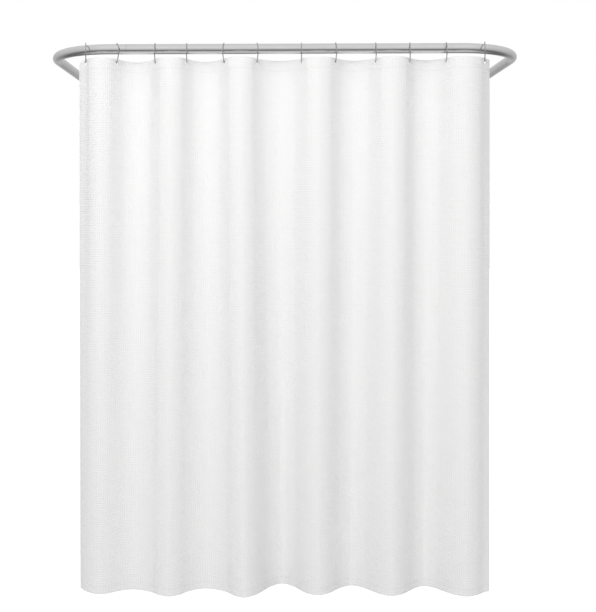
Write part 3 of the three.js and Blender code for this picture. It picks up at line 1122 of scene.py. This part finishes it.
def sheetPiece(cloth, name, alongs, drops, behind, thickness):
    places = cloth.at(alongs[None, :], drops[:, None], behind)
    rows, columns = places.shape[:2]
    faces = []
    for r in range(rows - 1):
        for c in range(columns - 1):
            a = r * columns + c
            faces.append((a, a + columns, a + columns + 1, a + 1))
    piece = meshPiece(name, places.reshape(-1, 3), faces)
    layer = piece.data.uv_layers.new(name="flatCloth")
    size = cloth.c["width"]
    shares = np.broadcast_arrays(alongs[None, :] / size, 1 - drops[:, None] / size)
    flat = np.stack(shares, axis=-1).reshape(-1, 2)
    corners = np.empty(len(piece.data.loops), int)
    piece.data.loops.foreach_get("vertex_index", corners)
    layer.data.foreach_set("uv", flat[corners].ravel())
    body = piece.modifiers.new("cloth", "SOLIDIFY")
    body.thickness, body.offset = thickness, 0
    bakeModifiers(piece)
    return piece


def holeCutters(cloth, reach):
    cutters = []
    for hole in cloth.holes:
        place = cloth.at(hole, cloth.c["holeDrop"])
        ahead = cloth.at(hole + 0.004, cloth.c["holeDrop"]) - cloth.at(hole - 0.004, cloth.c["holeDrop"])
        facing = math.atan2(ahead[1], ahead[0])
        bpy.ops.object.select_all(action="DESELECT")
        bpy.ops.mesh.primitive_cylinder_add(vertices=28, radius=1, depth=1)
        cutter = bpy.context.object
        cutter.data.transform(
            Matrix.Translation(place)
            @ Matrix.Rotation(facing, 4, "Z")
            @ Matrix.Rotation(math.pi / 2, 4, "X")
            @ Matrix.Diagonal((*cloth.c["hole"], reach, 1))
        )
        cutters.append(cutter)
    return cutters


# A rounded thread laid along each short line of places.
def threadPiece(name, runs, radius, sides):
    points, faces = [], []
    for run in runs:
        run = np.asarray(run)
        ahead = np.gradient(run, axis=0)
        ahead /= np.linalg.norm(ahead, axis=1)[:, None]
        up = np.where(np.abs(ahead[:, 2:3]) > 0.8, np.array([[1.0, 0, 0]]), np.array([[0, 0, 1.0]]))
        side = np.cross(ahead, up)
        side /= np.linalg.norm(side, axis=1)[:, None]
        over = np.cross(side, ahead)
        first = len(points)
        count = len(run)
        for k in range(count):
            taper = 0.45 if k in (0, count - 1) else 1.0
            for s in range(sides):
                a = 2 * math.pi * s / sides
                points.append(run[k] + radius * taper * (math.cos(a) * side[k] + math.sin(a) * over[k]))
        for k in range(count - 1):
            for s in range(sides):
                a, b = first + k * sides + s, first + k * sides + (s + 1) % sides
                faces.append((a, b, b + sides, a + sides))
        faces.append(tuple(first + s for s in reversed(range(sides))))
        faces.append(tuple(first + (count - 1) * sides + s for s in range(sides)))
    piece = meshPiece(name, points, faces)
    startEdit(piece)
    bpy.ops.mesh.select_all(action="SELECT")
    bpy.ops.mesh.normals_make_consistent(inside=False)
    endEdit()
    onlySelect(piece)
    bpy.ops.object.shade_smooth()
    return piece


stitchSize = {
    "length": 3.4 * mm,
    "pitch": 4.4 * mm,
    "thread": 0.32 * mm,
    "proud": 0.12 * mm,
    "shares": np.array([0, 0.2, 0.5, 0.8, 1]),
    "arch": np.array([-0.35, 0.5, 1.0, 0.5, -0.35]),
    "inset": 3 * mm,
    "fromEdge": 2 * mm,
}


def seamRuns(cloth, s, startAlong, endAlong, startDrop, endDrop):
    length = math.hypot(endAlong - startAlong, endDrop - startDrop)
    count = int(length / s["pitch"])
    runs = []
    for k in range(count):
        first = (k + 0.5) / count - s["length"] / length / 2
        shares = first + s["length"] / length * s["shares"]
        alongs = startAlong + (endAlong - startAlong) * shares
        drops = startDrop + (endDrop - startDrop) * shares
        for face, base in ((-1, cloth.front), (1, cloth.back)):
            runs.append(cloth.at(alongs, drops, face * (base + s["arch"] * s["proud"])))
    return runs


def makeStitching(cloth):
    c, s = cloth.c, stitchSize
    start, end = s["inset"], c["width"] - s["inset"]
    top, bottom = c["header"] - s["fromEdge"], c["height"] - c["bottomHem"] + s["fromEdge"]
    left = c["sideHem"] - s["fromEdge"]
    right = c["width"] - left
    above, below = c["header"], c["height"] - c["bottomHem"]
    rows = {
        "headerStitches": [(start, end, top, top)],
        "bottomHemStitches": [(start, end, bottom, bottom)],
        "sideHemStitches": [(left, left, above, below), (right, right, above, below)],
    }
    pieces = []
    for name, seams in rows.items():
        runs = [run for seam in seams for run in seamRuns(cloth, s, *seam)]
        piece = threadPiece(name, runs, s["thread"], 4)
        pieces.append(hand(piece, name, sewing, "hem", "curtain"))
    return pieces


buttonSize = {
    "stitches": 44,
    "thread": 0.42 * mm,
    "inner": -0.3 * mm,
    "outer": 2.4 * mm,
    "proud": 0.15 * mm,
    "sunk": 0.2 * mm,
}


# Close stitches laid across the edge of every hole, from its lip outwards, on both faces.
def makeButtonholes(cloth):
    c, b = cloth.c, buttonSize
    front, back = cloth.front + b["proud"], cloth.back + b["proud"]
    behind = np.array([b["sunk"] - front, -front, -front * 0.6, back * 0.8, back, back - b["sunk"]])
    outward = np.array([1.0, 0.5, 0.0, 0.0, 0.5, 1.0])
    outs = b["inner"] + (b["outer"] - b["inner"]) * outward
    runs = []
    for hole in cloth.holes:
        for k in range(b["stitches"]):
            angle = 2 * math.pi * k / b["stitches"]
            alongs = hole + math.cos(angle) * (c["hole"][0] + outs)
            drops = c["holeDrop"] + math.sin(angle) * (c["hole"][1] + outs)
            runs.append(cloth.at(alongs, drops, behind))
    piece = threadPiece("buttonholeStitches", runs, b["thread"], 5)
    return hand(piece, "buttonholeStitches", sewing, "hem", "curtain")


def makeCurtain(c, h):
    cloth = HungCloth(c, h)
    width, height = c["width"], c["height"]
    alongs = np.linspace(0, width, c["columns"] + 1)
    topDrops = np.array(c["topRows"]) * mm
    restDrops = np.arange(c["firstRow"] * mm, height - c["lastRow"] * mm, c["rowStep"])
    drops = np.concatenate([topDrops, restDrops, height - np.array(c["hemRows"]) * mm])
    panel = sheetPiece(cloth, "curtainPanel", alongs, drops, 0.0, c["thick"])
    backing = (c["backOffset"], c["backThick"])
    header = sheetPiece(cloth, "headerBand", alongs, topDrops + 0.2 * mm, *backing)
    for piece in (panel, header):
        cutAway(piece, holeCutters(cloth, 9 * mm))
    hemDrops = height - np.array(c["hemBackRows"]) * mm
    hem = sheetPiece(cloth, "bottomHem", alongs, hemDrops, *backing)
    sideDrops = drops[(drops >= c["header"]) & (drops <= height - 27.9 * mm)].copy()
    sideDrops[0], sideDrops[-1] = c["header"] + 0.6 * mm, height - c["bottomHem"] - 0.4 * mm
    sideAlongs = np.linspace(0.2 * mm, c["sideHem"], 4)
    left = sheetPiece(cloth, "leftSideHem", sideAlongs, sideDrops, *backing)
    right = sheetPiece(cloth, "rightSideHem", width - sideAlongs[::-1], sideDrops, *backing)
    fromEdge = stitchSize["fromEdge"]
    seams = [
        ("Y", width - c["header"] + fromEdge), ("Y", width - height + c["bottomHem"] - fromEdge),
        ("X", c["sideHem"] - fromEdge), ("X", width - c["sideHem"] + fromEdge),
    ]
    waffle = clothMaterial("waffleCloth", clothLook, width, seams)
    flatter = {**clothLook, "reliefStrength": 0.42, "pitShade": 0.035}
    hemmed = clothMaterial("hemmedWaffle", flatter, width, seams)
    for piece, name, material, slot, node in (
        (panel, "curtainPanel", waffle, "cloth", "curtain_panel"),
        (header, "headerBand", hemmed, "hem", "header_band"),
        (hem, "bottomHem", hemmed, "hem", "bottom_hem"),
        (left, "leftSideHem", hemmed, "hem", "left_side_hem"),
        (right, "rightSideHem", hemmed, "hem", "right_side_hem"),
    ):
        closeUp(piece, 50)
        hand(piece, name, material, slot, "curtain", node)
    extras = [header, hem, left, right, *makeStitching(cloth), makeButtonholes(cloth)]
    for piece in (panel, *extras):
        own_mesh(piece)


makeCurtain(clothSize, hookSize)
print("curtain")
